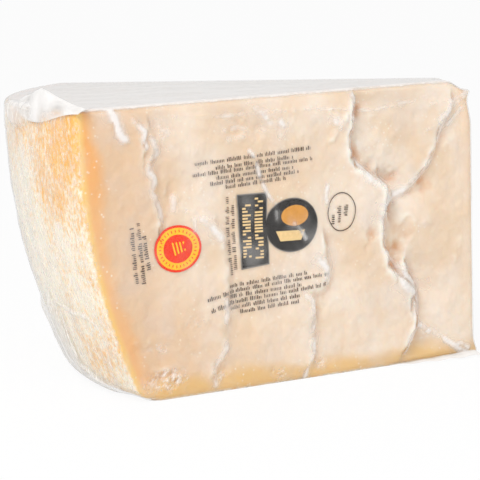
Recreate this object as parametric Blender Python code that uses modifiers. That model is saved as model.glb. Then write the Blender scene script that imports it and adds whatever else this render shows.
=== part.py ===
"""A chunk of hard cheese sealed in clear film: half the height of a wheel, cut as one sector.

The chunk stands on the wheel's flat plate. Its curved side is the rind, towards -X. The long
side towards -Y was split open with a cheese knife, and so was the side behind it. The two meet
at the tip, towards +X, which was the middle of the wheel. The bag clings to all of it and is
one solid with the cheese. Its two loose ends are thin solids of their own.
"""

import math
from dataclasses import dataclass

import bmesh
import bpy
import numpy as np

MM = 0.001

# The wheel that the chunk was cut from
WHEEL_RADIUS = 204.8 * MM
CHUNK_HEIGHT = 115.1 * MM
SECTOR_ANGLE = math.radians(57.9)
PLATE_INSET = 26.3 * MM
BARREL_POWER = 2.3
FOOT_RADIUS = 9 * MM
BARREL_STEPS = 16
FOOT_STEPS = 5
SPIN_STEPS = 30
TIP_BEVEL = 12.5 * MM
TIP_STEPS = 5
WELD = 0.01 * MM

# The top was cut a little out of level
RISE_TO_TIP = 0.0102
FALL_TO_BACK = 0.0100

# The worked surface
EDGE_BEVEL = 3.5 * MM
BEVEL_STEPS = 3
SHARP_EDGE = math.radians(35)
VOXEL = 2.4 * MM
SMOOTH_PASSES = 4
SMOOTH_FACTOR = 0.5
FACE_DEPTH = 2 * MM
FACE_FACING = 0.8
EDGE_FADE = 9 * MM
RIDGE_END_FADE = 15 * MM
CLIFF_WIDTH = 3 * MM
WAVE_HEIGHT = 0.5 * MM
WAVE_LENGTH = 21 * MM
FLAT_BASE = 0.3 * MM
SHARE_KEPT = 0.22

# The bag's loose ends
FILM_THICKNESS = 0.8 * MM
TOUCH_GAP = 0.4 * MM
EAR_FROM = math.radians(1)
EAR_TO = math.radians(18)
EAR_PEAK = 0.55
EAR_HEIGHT = 8 * MM
EAR_HEM = 1.2 * MM
EAR_INSET = 5 * MM
EAR_STEPS = 14
TAIL_FROM = 150 * MM
TAIL_TO = 191 * MM
TAIL_REACH = 11 * MM
TAIL_HEM = 1 * MM
TAIL_LIFT = 2.5 * MM
TAIL_TUCK = 0.5 * MM
TAIL_STEPS = 12
TAIL_ROWS = 4

CHEESE_COLOUR = (0.80, 0.62, 0.40, 1.0)
CHEESE_ROUGHNESS = 0.35
FILM_COLOUR = (0.86, 0.86, 0.84, 1.0)
FILM_ROUGHNESS = 0.15


@dataclass(frozen=True)
class Ridge:
    """A broken edge on a split face: it rises to a crest, drops steeply and levels off again.

    The line holds (distance from the rind, height) in millimetres, listed from the top down.
    """

    line: tuple
    crest: float
    drop: float
    before: float
    after: float

    def relief(self, along, height):
        """How far the face stands out, in metres, at arrays of distance along it and height."""
        points = np.array(self.line[::-1]) * MM
        offset = along - np.interp(height, points[:, 1], points[:, 0])
        crest = self.crest * MM
        rise = crest * np.exp(np.minimum(offset, 0) / (self.before * MM))
        past = np.maximum(offset, 0)
        cliff = smooth_step(past / CLIFF_WIDTH)
        level = crest - (crest + self.drop * MM) * cliff
        fall = level * np.exp(-np.maximum(past - CLIFF_WIDTH, 0) / (self.after * MM))
        inside = np.minimum(height - points[0, 1], points[-1, 1] - height)
        return np.where(offset < 0, rise, fall) * smooth_step(1 + inside / RIDGE_END_FADE)


FRONT_RIDGES = (
    # the long broken edge that comes down from the top, left of the scooped place
    Ridge(((131, 114), (130, 96), (131, 88), (138, 80), (148, 75), (152, 70)), 1.6, 4.2, 16, 22),
    # its lower half, down to a small pit
    Ridge(((149, 74), (146, 62), (148, 50), (151, 39), (154, 34), (160, 30)), 1.6, 3.6, 14, 22),
    Ridge(((161, 36), (166, 31), (164, 22), (162, 14), (156, 5)), 1.6, 2.4, 10, 20),
    # the far side of the scooped place
    Ridge(((184, 108), (177, 95), (173, 85), (166, 76), (153, 69)), 1.4, 0.8, 7, 12),
    # the upright edges further left
    Ridge(((116, 53), (117, 41), (105, 36), (109, 29), (107, 19), (108, 9), (105, 2)), 1.2, 1.6, 12, 14),
    Ridge(((67, 59), (69, 48), (65, 30), (65, 18), (59, 6)), 1.1, 0.9, 9, 12),
    Ridge(((33, 104), (36, 96), (30, 91), (32, 82), (36, 73), (37, 68)), 1.0, 1.0, 10, 12),
)

BACK_RIDGES = (
    Ridge(((42, 112), (47, 96), (40, 78), (46, 60), (41, 44), (47, 30)), 1.3, 2.2, 12, 18),
    Ridge(((88, 84), (93, 66), (86, 50), (92, 30), (88, 8)), 1.5, 2.6, 14, 20),
    Ridge(((128, 112), (122, 92), (131, 74), (127, 58)), 1.3, 2.8, 12, 22),
    Ridge(((162, 78), (158, 56), (166, 36), (160, 12)), 1.2, 2.0, 10, 16),
)


def smooth_step(share):
    """Eases a share from 0 to 1, with no jump in slope at either end."""
    share = np.clip(share, 0, 1)
    return share * share * (3 - 2 * share)


def clear_scene():
    """Removes whatever the open file holds."""
    for thing in list(bpy.data.objects):
        bpy.data.objects.remove(thing)


def make_collection(name):
    """Returns a new collection under the scene's own."""
    collection = bpy.data.collections.new(name)
    bpy.context.scene.collection.children.link(collection)
    return collection


def make_material(name, colour, roughness):
    """Returns a plain material without metal in it."""
    material = bpy.data.materials.new(name)
    material.use_nodes = True
    shader = material.node_tree.nodes["Principled BSDF"]
    shader.inputs["Base Color"].default_value = colour
    shader.inputs["Roughness"].default_value = roughness
    shader.inputs["Metallic"].default_value = 0.0
    return material


def mesh_from(bm, name):
    """Turns a bmesh into a mesh with its faces pointing out, and frees the bmesh."""
    bmesh.ops.recalc_face_normals(bm, faces=bm.faces)
    mesh = bpy.data.meshes.new(name)
    bm.to_mesh(mesh)
    bm.free()
    return mesh


def make_object(name, mesh, collection):
    """Returns an object that shows the mesh, linked into the collection."""
    thing = bpy.data.objects.new(name, mesh)
    collection.objects.link(thing)
    return thing


def evaluated_mesh(thing, name):
    """Returns a new mesh of the object as its modifiers leave it."""
    bpy.context.view_layer.update()
    graph = bpy.context.evaluated_depsgraph_get()
    return bpy.data.meshes.new_from_object(thing.evaluated_get(graph), depsgraph=graph)


def rind_radius(height):
    """Radius of the wheel's barrel-shaped side at a height above the plate."""
    below_middle = max(0.0, 1 - height / CHUNK_HEIGHT)
    return WHEEL_RADIUS - PLATE_INSET * below_middle**BARREL_POWER


def section_outline():
    """The radial section as (radius, height) points: plate, rounded foot, rind, then the cut top."""
    points = [(0.0, 0.0)]
    foot_centre = rind_radius(FOOT_RADIUS) - FOOT_RADIUS
    for step in range(FOOT_STEPS):
        turn = math.radians(90) * step / FOOT_STEPS
        radius = foot_centre + FOOT_RADIUS * math.sin(turn)
        points.append((radius, FOOT_RADIUS - FOOT_RADIUS * math.cos(turn)))
    for step in range(BARREL_STEPS + 1):
        height = FOOT_RADIUS + (CHUNK_HEIGHT - FOOT_RADIUS) * step / BARREL_STEPS
        points.append((rind_radius(height), height))
    points.append((0.0, CHUNK_HEIGHT))
    return points


def sector_mesh():
    """Spins the section about the wheel's axis, from the front face at y = 0, and blunts the tip."""
    bm = bmesh.new()
    outline = [bm.verts.new((-radius, 0, height)) for radius, height in section_outline()]
    section = bm.faces.new(outline)
    bmesh.ops.spin(
        bm,
        geom=[section, *section.edges, *section.verts],
        cent=(0, 0, 0),
        axis=(0, 0, 1),
        angle=-SECTOR_ANGLE,
        steps=SPIN_STEPS,
    )
    bmesh.ops.remove_doubles(bm, verts=bm.verts, dist=WELD)
    tip = [edge for edge in bm.edges if all(vertex.co.xy.length < WELD for vertex in edge.verts)]
    bmesh.ops.bevel(bm, geom=tip, offset=TIP_BEVEL, segments=TIP_STEPS, profile=0.5, affect="EDGES")
    return mesh_from(bm, "sector")


def add_blunt_edges(thing):
    """Rounds the edges of the sector, then turns it into an even mesh that can take relief."""
    bevel = thing.modifiers.new("edges", "BEVEL")
    bevel.width = EDGE_BEVEL
    bevel.segments = BEVEL_STEPS
    bevel.limit_method = "ANGLE"
    bevel.angle_limit = SHARP_EDGE
    remesh = thing.modifiers.new("even", "REMESH")
    remesh.mode = "VOXEL"
    remesh.voxel_size = VOXEL
    smooth = thing.modifiers.new("soft", "SMOOTH")
    smooth.factor = SMOOTH_FACTOR
    smooth.iterations = SMOOTH_PASSES


def face_relief(along, height, ridges, phase):
    """Relief of one split face, in metres: its ridges on a slow wave, fading out at the edges."""
    wave = np.sin(along / WAVE_LENGTH + phase) * np.sin(height / WAVE_LENGTH + 2 * phase)
    relief = WAVE_HEIGHT * wave + sum(ridge.relief(along, height) for ridge in ridges)
    to_edge = np.minimum.reduce([along, WHEEL_RADIUS - along, height, CHUNK_HEIGHT - height])
    return relief * smooth_step(to_edge / EDGE_FADE)


def split_face(points, normals, turn, outward, ridges):
    """Moves the points of one split face in or out by its relief.

    The face leaves the wheel's axis in the direction that -X takes after the turn. The points
    and their normals are arrays of one row each, and the points are changed in place.
    """
    depth = -points @ outward
    on_face = (np.abs(depth) < FACE_DEPTH) & (normals @ outward > FACE_FACING)
    direction = np.array([-math.cos(turn), math.sin(turn), 0.0])
    along = WHEEL_RADIUS - points[on_face] @ direction
    relief = face_relief(along, points[on_face, 2], ridges, turn)
    points[on_face] += relief[:, None] * outward


def tilt_top(points):
    """Stretches the heights so that the top rises to the tip and falls to the back."""
    from_rind = points[:, 0] + WHEEL_RADIUS
    top = CHUNK_HEIGHT + RISE_TO_TIP * from_rind - FALL_TO_BACK * points[:, 1]
    points[:, 2] *= top / CHUNK_HEIGHT


def work_surface(mesh):
    """Gives the even mesh its split faces, its sloping top and a truly flat base."""
    count = len(mesh.vertices)
    points = np.empty(count * 3)
    normals = np.empty(count * 3)
    mesh.vertices.foreach_get("co", points)
    mesh.vertex_normals.foreach_get("vector", normals)
    points = points.reshape(-1, 3)
    normals = normals.reshape(-1, 3)
    split_face(points, normals, 0.0, np.array([0.0, -1.0, 0.0]), FRONT_RIDGES)
    behind = np.array([math.sin(SECTOR_ANGLE), math.cos(SECTOR_ANGLE), 0.0])
    split_face(points, normals, SECTOR_ANGLE, behind, BACK_RIDGES)
    tilt_top(points)
    points[points[:, 2] < FLAT_BASE, 2] = 0.0
    mesh.vertices.foreach_set("co", points.ravel())
    mesh.update()


def build_pack(collection):
    """The cheese with the bag drawn tight round it, as one solid."""
    blank = make_object("blank", sector_mesh(), collection)
    add_blunt_edges(blank)
    mesh = evaluated_mesh(blank, "cheese_pack")
    bpy.data.objects.remove(blank)
    work_surface(mesh)
    mesh.materials.append(make_material("cheese in film", CHEESE_COLOUR, CHEESE_ROUGHNESS))
    pack = make_object("cheese_pack", mesh, collection)
    thin = pack.modifiers.new("fewer faces", "DECIMATE")
    thin.ratio = SHARE_KEPT
    thin.use_collapse_triangulate = True
    return pack


def strip_object(name, rows, collection, material):
    """A thin solid of film along a grid of points, whose rows all have the same length."""
    bm = bmesh.new()
    grid = [[bm.verts.new(point) for point in row] for row in rows]
    for lower, upper in zip(grid, grid[1:]):
        for index in range(len(lower) - 1):
            bm.faces.new((lower[index], lower[index + 1], upper[index + 1], upper[index]))
    mesh = mesh_from(bm, name)
    mesh.materials.append(material)
    thing = make_object(name, mesh, collection)
    wall = thing.modifiers.new("film", "SOLIDIFY")
    wall.thickness = FILM_THICKNESS
    wall.offset = 0
    return thing


def build_ear(collection, material):
    """The fold of spare film that stands up along the top of the rind, highest near its middle."""
    foot = []
    crest = []
    for step in range(EAR_STEPS + 1):
        share = step / EAR_STEPS
        turn = EAR_FROM + (EAR_TO - EAR_FROM) * share
        x = -(WHEEL_RADIUS - EAR_INSET) * math.cos(turn)
        y = (WHEEL_RADIUS - EAR_INSET) * math.sin(turn)
        base = CHUNK_HEIGHT + RISE_TO_TIP * EAR_INSET + TOUCH_GAP
        slope = share / EAR_PEAK if share < EAR_PEAK else (1 - share) / (1 - EAR_PEAK)
        foot.append((x, y, base))
        crest.append((x, y, base + EAR_HEM + (EAR_HEIGHT - EAR_HEM) * slope))
    return strip_object("bag_ear", [foot, crest], collection, material)


def build_tail(collection, material):
    """The end of the bag that comes out from under the front edge near the tip and lies low."""
    rows = []
    for row in range(TAIL_ROWS + 1):
        out = row / TAIL_ROWS
        points = []
        for step in range(TAIL_STEPS + 1):
            share = step / TAIL_STEPS
            width = TAIL_HEM + (TAIL_REACH - TAIL_HEM) * math.sin(math.pi / 2 * share)
            x = TAIL_FROM + (TAIL_TO - TAIL_FROM) * share - WHEEL_RADIUS
            lift = FILM_THICKNESS + TAIL_LIFT * share * math.sin(math.pi * out)
            points.append((x, TAIL_TUCK - width * out, lift))
        rows.append(points)
    return strip_object("bag_tail", rows, collection, material)


def stand_at_origin(things):
    """Shifts the meshes so that the middle of their common box's base is the origin."""
    corners = []
    for thing in things:
        mesh = evaluated_mesh(thing, "measure")
        corners += [vertex.co.copy() for vertex in mesh.vertices]
        bpy.data.meshes.remove(mesh)
    low = [min(corner[axis] for corner in corners) for axis in range(3)]
    high = [max(corner[axis] for corner in corners) for axis in range(3)]
    shift = (-(low[0] + high[0]) / 2, -(low[1] + high[1]) / 2, -low[2])
    for thing in things:
        thing.location = shift


def main():
    """Builds the pack and the loose ends of its bag."""
    clear_scene()
    collection = make_collection("parmesan_chunk")
    film = make_material("clear film", FILM_COLOUR, FILM_ROUGHNESS)
    pieces = [
        build_pack(collection),
        build_ear(collection, film),
        build_tail(collection, film),
    ]
    stand_at_origin(pieces)


main()
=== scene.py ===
"""The looks of a chunk of hard aged cheese, sealed in a clear bag with simple printing on it.

The chunk is a sector of half a wheel. The long side towards -Y is a split face, the rind is
towards -X and the tip towards +X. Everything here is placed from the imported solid's box.
Lengths are in metres unless a name or a docstring says millimetres.
"""

import logging
import math
from dataclasses import dataclass, field
from enum import Enum

import bmesh
import bpy
import numpy as np
from mathutils import Matrix, Vector
from mathutils.bvhtree import BVHTree

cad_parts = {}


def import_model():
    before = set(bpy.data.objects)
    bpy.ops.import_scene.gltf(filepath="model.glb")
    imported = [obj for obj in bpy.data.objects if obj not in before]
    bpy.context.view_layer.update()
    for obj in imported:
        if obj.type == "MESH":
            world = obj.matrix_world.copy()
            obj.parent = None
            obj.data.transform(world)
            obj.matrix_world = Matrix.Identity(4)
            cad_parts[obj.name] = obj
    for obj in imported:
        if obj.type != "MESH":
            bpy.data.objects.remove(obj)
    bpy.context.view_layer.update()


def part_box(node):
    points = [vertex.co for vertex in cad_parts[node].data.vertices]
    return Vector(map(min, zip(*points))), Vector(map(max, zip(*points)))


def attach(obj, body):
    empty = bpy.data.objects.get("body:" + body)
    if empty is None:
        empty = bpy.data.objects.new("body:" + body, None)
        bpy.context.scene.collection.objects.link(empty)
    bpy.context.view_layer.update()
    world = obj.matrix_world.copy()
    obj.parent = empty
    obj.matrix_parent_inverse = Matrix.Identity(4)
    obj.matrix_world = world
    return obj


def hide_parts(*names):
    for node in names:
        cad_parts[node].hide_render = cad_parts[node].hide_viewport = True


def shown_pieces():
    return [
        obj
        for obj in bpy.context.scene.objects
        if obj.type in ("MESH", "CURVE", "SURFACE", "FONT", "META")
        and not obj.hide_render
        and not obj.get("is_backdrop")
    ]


LOG = logging.getLogger("cheese pack")
MM = 0.001
BODY = "root"

Colour = tuple[float, float, float]
Line = tuple[tuple[float, float], ...]
Grid = np.ndarray


class Side(Enum):
    """The two split faces of the chunk."""

    FRONT = "front"
    BACK = "back"


def linear(colour: Colour) -> tuple[float, float, float, float]:
    """Turns a display colour, 0 to 255 a channel, into a linear one with full alpha.

    Args:
        colour: red, green and blue as a screen shows them.

    Returns:
        Red, green, blue and alpha, 0 to 1, as shaders take them.
    """
    shares = [channel / 255 for channel in colour]
    lit = [c / 12.92 if c <= 0.04045 else ((c + 0.055) / 1.055) ** 2.4 for c in shares]
    return (*lit, 1.0)


def smooth_step(share: Grid) -> Grid:
    """Eases shares from 0 to 1 without a jump in slope at either end."""
    share = np.clip(share, 0, 1)
    return share * share * (3 - 2 * share)


def ramp(value: Grid, start: float, end: float) -> Grid:
    """Smooth share of the way that value has gone from start to end; start may be the larger."""
    return smooth_step((value - start) / (end - start))


def to_line(points: Grid, line: Line) -> Grid:
    """Distance from each flat point to a bent line.

    Args:
        points: an array of one row of two coordinates each.
        line: the line's corners, in the same unit.

    Returns:
        One distance for each point.
    """
    corners = np.array(line, dtype=float)
    nearest = np.full(len(points), np.inf)
    for start, end in zip(corners, corners[1:]):
        run = end - start
        share = np.clip(((points - start) @ run) / (run @ run), 0, 1)
        gap = points - (start + share[:, None] * run)
        nearest = np.minimum(nearest, np.hypot(gap[:, 0], gap[:, 1]))
    return nearest


class Noise:
    """Smooth random values on a lattice that repeats, the same on each run."""

    SIZE = 32

    def __init__(self, seed: int) -> None:
        """Draws the lattice.

        Args:
            seed: picks the pattern.
        """
        self.lattice = np.random.default_rng(seed).random((self.SIZE,) * 3)

    def plain(self, points: Grid) -> Grid:
        """One octave.

        Args:
            points: an array of three coordinates a row, a lattice step apart at each 1.

        Returns:
            Values from -1 to 1.
        """
        base = np.floor(points).astype(int)
        part = smooth_step(points - base)
        total = np.zeros(len(points))
        for corner in np.ndindex(2, 2, 2):
            cell = (base + corner) % self.SIZE
            weight = np.prod(np.where(corner, part, 1 - part), axis=1)
            total += weight * self.lattice[cell[:, 0], cell[:, 1], cell[:, 2]]
        return 2 * total - 1

    def layered(self, points: Grid, octaves: int, gain: float = 0.5) -> Grid:
        """Several octaves on each other, each twice as fine.

        Args:
            points: an array of three coordinates a row.
            octaves: how many are added.
            gain: height of each octave as a share of the one before.

        Returns:
            Values about -1 to 1.
        """
        total = np.zeros(len(points))
        for octave in range(octaves):
            total += gain**octave * self.plain(points * 2**octave + 7.3 * octave)
        return total


def select_only(thing: bpy.types.Object) -> None:
    """Makes one object the active one and the only one selected."""
    bpy.ops.object.select_all(action="DESELECT")
    thing.select_set(True)
    bpy.context.view_layer.objects.active = thing


def edit_only(thing: bpy.types.Object, kind: str, chosen: list[bool] | np.ndarray) -> None:
    """Opens an object in edit mode with only some of its edges or faces selected.

    Args:
        thing: the object.
        kind: EDGE or FACE.
        chosen: true for each edge or face that is selected.
    """
    select_only(thing)
    bpy.ops.object.mode_set(mode="EDIT")
    bpy.ops.mesh.select_mode(type=kind)
    bpy.ops.mesh.select_all(action="DESELECT")
    bpy.ops.object.mode_set(mode="OBJECT")
    parts = thing.data.edges if kind == "EDGE" else thing.data.polygons
    parts.foreach_set("select", chosen)
    bpy.ops.object.mode_set(mode="EDIT")


def apply_modifier(thing: bpy.types.Object, kind: str, **settings: object) -> None:
    """Adds a modifier to an object and applies it.

    Args:
        thing: the object.
        kind: the modifier's type, as Blender names it.
        settings: its values.
    """
    modifier = thing.modifiers.new(kind.lower(), kind)
    for name, value in settings.items():
        setattr(modifier, name, value)
    select_only(thing)
    bpy.ops.object.modifier_apply(modifier=modifier.name)


def read_points(thing: bpy.types.Object) -> tuple[Grid, Grid]:
    """The places and normals of an object's points, one row each."""
    mesh = thing.data
    flat = np.empty(len(mesh.vertices) * 3)
    mesh.vertices.foreach_get("co", flat)
    points = flat.reshape(-1, 3).copy()
    mesh.vertex_normals.foreach_get("vector", flat)
    return points, flat.reshape(-1, 3).copy()


def write_points(thing: bpy.types.Object, points: Grid) -> None:
    """Puts an object's points at new places."""
    thing.data.vertices.foreach_set("co", np.ascontiguousarray(points).ravel())
    thing.data.update()


def write_attribute(thing: bpy.types.Object, name: str, values: Grid) -> None:
    """Stores a number, or a row of three, on each point of an object for its material.

    Args:
        thing: the object.
        name: what the material reads it by.
        values: one number or one row of three a point.
    """
    kind = "FLOAT" if values.ndim == 1 else "FLOAT_VECTOR"
    key = "value" if values.ndim == 1 else "vector"
    attribute = thing.data.attributes.new(name, kind, "POINT")
    attribute.data.foreach_set(key, np.ascontiguousarray(values, dtype=np.float32).ravel())


def evened(thing: bpy.types.Object, values: Grid, passes: int) -> Grid:
    """Evens out a number over a mesh.

    Args:
        thing: the mesh.
        values: one number for each of its points.
        passes: how many times each point takes half its neighbours' mean.

    Returns:
        The evened numbers.
    """
    ends = np.empty(len(thing.data.edges) * 2, dtype=np.int32)
    thing.data.edges.foreach_get("vertices", ends)
    first, second = ends.reshape(-1, 2).T
    count = len(values)
    neighbours = np.maximum(np.bincount(ends, minlength=count), 1)
    for _ in range(passes):
        around = np.bincount(first, values[second], count) + np.bincount(second, values[first], count)
        values = 0.5 * values + 0.5 * around / neighbours
    return values


def shade_smooth(thing: bpy.types.Object) -> None:
    """Shades all faces of an object smooth."""
    thing.data.polygons.foreach_set("use_smooth", [True] * len(thing.data.polygons))


def settle(thing: bpy.types.Object, material: bpy.types.Material) -> None:
    """Gives a finished piece its material and makes it ride on the pack.

    Args:
        thing: the piece.
        material: its finish.
    """
    thing.data.materials.clear()
    thing.data.materials.append(material)
    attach(thing, BODY)


# ---------------------------------------------------------------------------------------------
# Finishes
# ---------------------------------------------------------------------------------------------


class NodeDesk:
    """A short way to lay out the nodes of one material."""

    def __init__(self, name: str) -> None:
        """Starts an empty material.

        Args:
            name: the material's name.
        """
        self.material = bpy.data.materials.new(name)
        self.material.use_nodes = True
        self.tree = self.material.node_tree
        self.tree.nodes.clear()
        self.output = self.tree.nodes.new("ShaderNodeOutputMaterial")

    def add(self, kind: str, **inputs: object) -> bpy.types.Node:
        """Adds a node and sets or links its inputs.

        Args:
            kind: the node's type after "ShaderNode".
            inputs: values or sockets, with spaces in an input's name written as underscores.

        Returns:
            The node.
        """
        node = self.tree.nodes.new("ShaderNode" + kind)
        for name, value in inputs.items():
            self.feed(node.inputs[name.replace("_", " ")], value)
        return node

    def feed(self, socket: bpy.types.NodeSocket, value: object) -> None:
        """Links a socket to another one, or sets its value."""
        if isinstance(value, bpy.types.NodeSocket):
            self.tree.links.new(value, socket)
        else:
            socket.default_value = value

    def attribute(self, name: str) -> bpy.types.NodeSocket:
        """The number stored on the mesh under a name."""
        node = self.add("Attribute")
        node.attribute_name = name
        return node.outputs["Fac"]

    def vector_attribute(self, name: str) -> bpy.types.NodeSocket:
        """The row of three stored on the mesh under a name."""
        node = self.add("Attribute")
        node.attribute_name = name
        return node.outputs["Vector"]

    def place(self) -> bpy.types.NodeSocket:
        """Where the shaded point is on the object."""
        return self.add("TexCoord").outputs["Object"]

    def stretched(self, source: object, scale: Colour) -> bpy.types.NodeSocket:
        """A place scaled along each of its axes."""
        return self.add("Mapping", Vector=source, Scale=scale).outputs["Vector"]

    def noise(self, source: object, scale: float, detail: float = 3.0, rough: float = 0.55) -> object:
        """A noise pattern, 0 to 1.

        Args:
            source: the place that it is read at.
            scale: how fine it is.
            detail: its octaves.
            rough: how much the fine octaves count.

        Returns:
            The socket of its value.
        """
        node = self.add("TexNoise", Vector=source, Scale=scale, Detail=detail, Roughness=rough)
        return node.outputs["Fac"]

    def math(self, operation: str, *numbers: object) -> bpy.types.NodeSocket:
        """One sum on up to three numbers.

        Args:
            operation: the sum, as Blender names it.
            numbers: values or sockets, in the sum's order.

        Returns:
            The socket of the result.
        """
        node = self.add("Math")
        node.operation = operation
        for socket, number in zip(node.inputs, numbers):
            self.feed(socket, number)
        return node.outputs[0]

    def span(self, value: object, low: float, high: float, at_low: float, at_high: float) -> object:
        """Maps a number from one span to another, smoothly and with no overshoot.

        Args:
            value: the number.
            low: where the first span starts.
            high: where it ends.
            at_low: the result at low.
            at_high: the result at high.

        Returns:
            The socket of the result.
        """
        node = self.add("MapRange")
        node.interpolation_type = "SMOOTHSTEP"
        for socket, number in zip(node.inputs, (value, low, high, at_low, at_high)):
            self.feed(socket, number)
        return node.outputs["Result"]

    def blend(self, share: object, first: object, second: object, kind: str = "MIX") -> object:
        """Mixes two colours.

        Args:
            share: how much of the second, 0 to 1.
            first: a colour or a socket.
            second: a colour or a socket.
            kind: the way of mixing.

        Returns:
            The socket of the mixed colour.
        """
        node = self.add("Mix")
        node.data_type = "RGBA"
        node.blend_type = kind
        by_name = {socket.identifier: socket for socket in [*node.inputs, *node.outputs]}
        self.feed(by_name["Factor_Float"], share)
        self.feed(by_name["A_Color"], first)
        self.feed(by_name["B_Color"], second)
        return by_name["Result_Color"]

    def bump(self, height: object, distance: float, strength: float = 1.0) -> bpy.types.NodeSocket:
        """A normal from a height pattern whose full height is distance."""
        node = self.add("Bump", Height=height, Distance=distance, Strength=strength)
        return node.outputs["Normal"]

    def finish(self, shader: bpy.types.Node) -> bpy.types.Material:
        """Ends the material with a shader and returns it."""
        self.tree.links.new(shader.outputs[0], self.output.inputs["Surface"])
        return self.material


@dataclass(frozen=True)
class CheeseFinish:
    """Aged cheese: straw and cream inside, amber under the rind, ochre on it, with white specks, painted shade in
    the hollows of the split faces and painted highlights on their crests.
    """

    cream: Colour = (232, 205, 174)
    pale: Colour = (242, 225, 206)
    straw: Colour = (224, 188, 150)
    painted_shade_tan: Colour = (214, 154, 98)
    amber: Colour = (240, 170, 84)
    tip_peach: Colour = (244, 200, 148)
    rim: Colour = (236, 194, 116)
    base_tan: Colour = (228, 186, 116)
    rind_gold: Colour = (240, 180, 78)
    rind_pale: Colour = (248, 238, 218)
    rind_pit: Colour = (216, 158, 84)
    # The speck white also serves as the painted highlight on the crests of the relief.
    speck: Colour = (252, 246, 236)
    roughness: float = 0.5
    bleed_scale: float = 3 * MM

    def build(self) -> bpy.types.Material:
        """Lays the finish out.

        Returns:
            The material. It reads depth_mm, around_mm, height_mm, rind, hollow and crest from the mesh.
        """
        desk = NodeDesk("aged cheese")
        place = desk.place()
        inside = self.inside_colour(desk, place)
        outside = self.rind_colour(desk, place)
        colour = desk.blend(desk.attribute("rind"), inside, outside)
        grain = desk.noise(place, 900.0, 4.0, 0.65)
        crumb = desk.noise(place, 260.0, 3.0, 0.6)
        height = desk.math("ADD", desk.math("MULTIPLY", grain, 0.4), crumb)
        shader = desk.add(
            "BsdfPrincipled",
            Base_Color=colour,
            Roughness=self.roughness,
            Normal=desk.bump(height, 0.35 * MM, 0.6),
        )
        shader.inputs["Subsurface Weight"].default_value = 0.25
        shader.inputs["Subsurface Radius"].default_value = (1.0, 0.6, 0.35)
        shader.inputs["Subsurface Scale"].default_value = self.bleed_scale
        return desk.finish(shader)

    def inside_colour(self, desk: NodeDesk, place: object) -> object:
        """Colour of the split and cut faces.

        Args:
            desk: the material being laid out.
            place: where the shaded point is.

        Returns:
            The socket of the colour.
        """
        cloud = desk.noise(place, 28.0, 3.0, 0.6)
        depth = desk.attribute("depth_mm")
        depth = desk.math("ADD", depth, desk.span(cloud, 0.3, 0.7, -2.5, 2.5))
        colour = desk.blend(desk.span(cloud, 0.35, 0.68, 0.0, 1.0), linear(self.cream), linear(self.pale))
        colour = desk.blend(desk.span(depth, 8.0, 60.0, 0.9, 0.0), colour, linear(self.straw))
        glow = desk.span(desk.attribute("height_mm"), 60.0, 110.0, 0.55, 0.95)
        glow = desk.math("MULTIPLY", desk.span(depth, 4.0, 12.0, 1.0, 0.0), glow)
        colour = desk.blend(glow, colour, linear(self.amber))
        # Painted shade: tan laid in patches into the hollows of the relief and the scoops beside the breaks, where
        # the relief would shade itself.
        shade_patchiness = desk.span(desk.noise(place, 210.0, 3.0), 0.35, 0.65, 0.25, 1.0)
        shade = desk.math("MULTIPLY", desk.attribute("hollow_shade"), shade_patchiness)
        colour = desk.blend(shade, colour, linear(self.painted_shade_tan))
        # Painted highlight: the speck white laid on the crests of the relief, where light would catch.
        colour = desk.blend(desk.attribute("crest"), colour, linear(self.speck))
        colour = desk.blend(desk.span(depth, 184.0, 204.0, 0.0, 0.7), colour, linear(self.tip_peach))
        foot = desk.math("ADD", desk.attribute("height_mm"), desk.span(cloud, 0.3, 0.7, -2.0, 2.0))
        colour = desk.blend(desk.span(foot, 3.0, 10.0, 0.9, 0.0), colour, linear(self.base_tan))
        near_rim = desk.span(desk.attribute("depth_mm"), 1.6, 4.4, 1.0, 0.0)
        colour = desk.blend(near_rim, colour, linear(self.rim))
        dots = desk.add("TexVoronoi", Vector=place, Scale=400.0)
        dots.inputs["Randomness"].default_value = 1.0
        patch = desk.span(desk.noise(place, 80.0, 2.0), 0.46, 0.6, 0.0, 1.0)
        speck = desk.math("MULTIPLY", desk.span(dots.outputs["Distance"], 0.08, 0.24, 0.5, 0.0), patch)
        return desk.blend(speck, colour, linear(self.speck))

    def rind_colour(self, desk: NodeDesk, place: object) -> object:
        """Colour of the rind, streaked up and down.

        Args:
            desk: the material being laid out.
            place: where the shaded point is.

        Returns:
            The socket of the colour.
        """
        grain = desk.noise(desk.stretched(place, (1.0, 1.0, 0.7)), 620.0, 3.0, 0.7)
        cloud = desk.noise(place, 34.0, 3.0, 0.6)
        wear = desk.math("ADD", desk.math("MULTIPLY", grain, 0.8), desk.math("MULTIPLY", cloud, 0.6))
        wear = desk.math("SUBTRACT", wear, desk.span(desk.attribute("height_mm"), 60.0, 112.0, 0.0, 0.16))
        wear = desk.math("ADD", wear, desk.span(desk.attribute("around_mm"), 5.0, 60.0, 0.0, 0.14))
        colour = desk.blend(desk.span(wear, 0.5, 0.8, 0.0, 1.0), linear(self.rind_gold), linear(self.rind_pale))
        pit = desk.noise(desk.stretched(place, (1.0, 1.0, 0.6)), 800.0, 2.0, 0.6)
        return desk.blend(desk.span(pit, 0.62, 0.74, 0.0, 0.6), colour, linear(self.rind_pit))


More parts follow.
